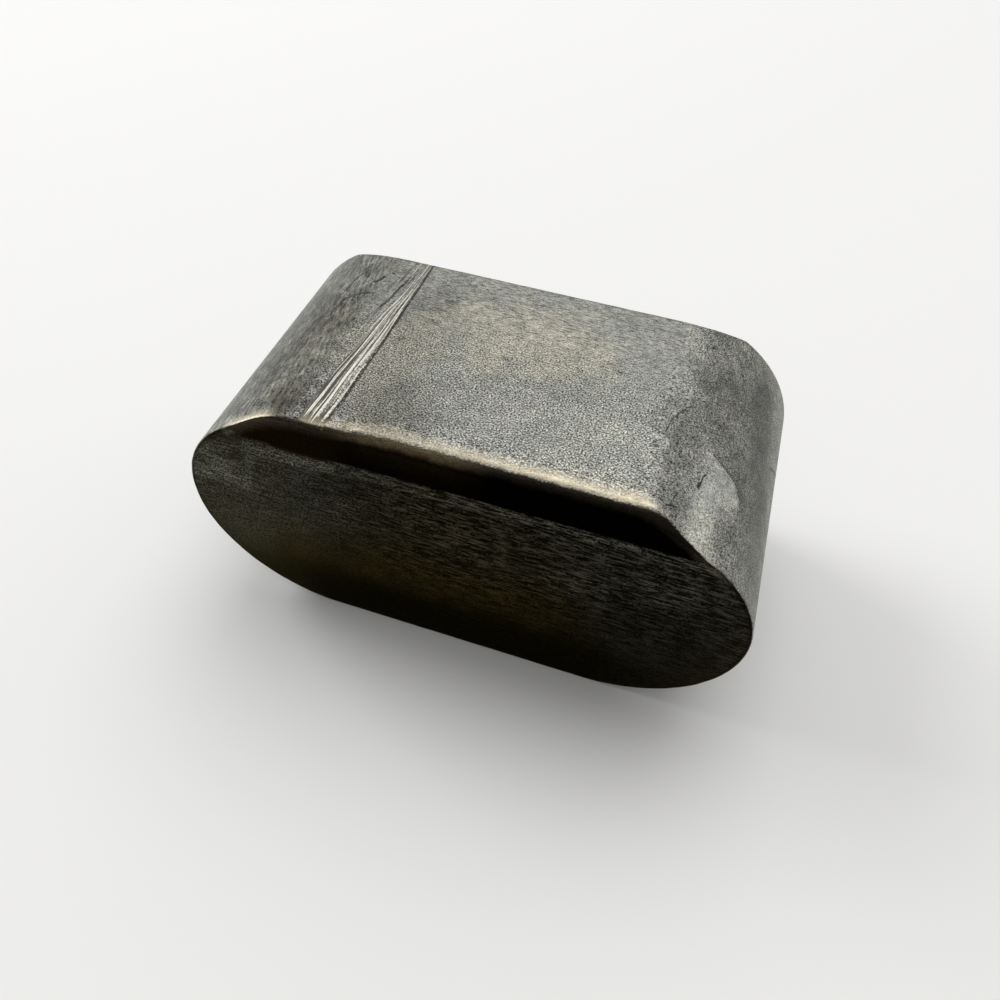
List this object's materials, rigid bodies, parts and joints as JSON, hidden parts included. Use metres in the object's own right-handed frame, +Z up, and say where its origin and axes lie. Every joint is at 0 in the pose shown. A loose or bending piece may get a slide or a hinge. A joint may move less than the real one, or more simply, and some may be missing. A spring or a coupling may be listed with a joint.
{
  "type": "machine key",
  "caption": "Square-section steel key with fully round ends, chamfered long edges on one flank, a ground facet and a milled strip.",
  "frame": {"origin": "middle of the flank that the key rests on", "axes": "+X along the key, +Y from the near face to the far face, +Z up, out of the chamfered upper flank"},
  "size_m": [0.0254, 0.0126, 0.0127],
  "materials": {
    "key_steel": "ground steel, dull and slightly oxidised, with grinding lines on the faces and brighter worn edges"
  },
  "bodies": {
    "root": {"machine_key": "key_steel"}
  },
  "joints": []
}
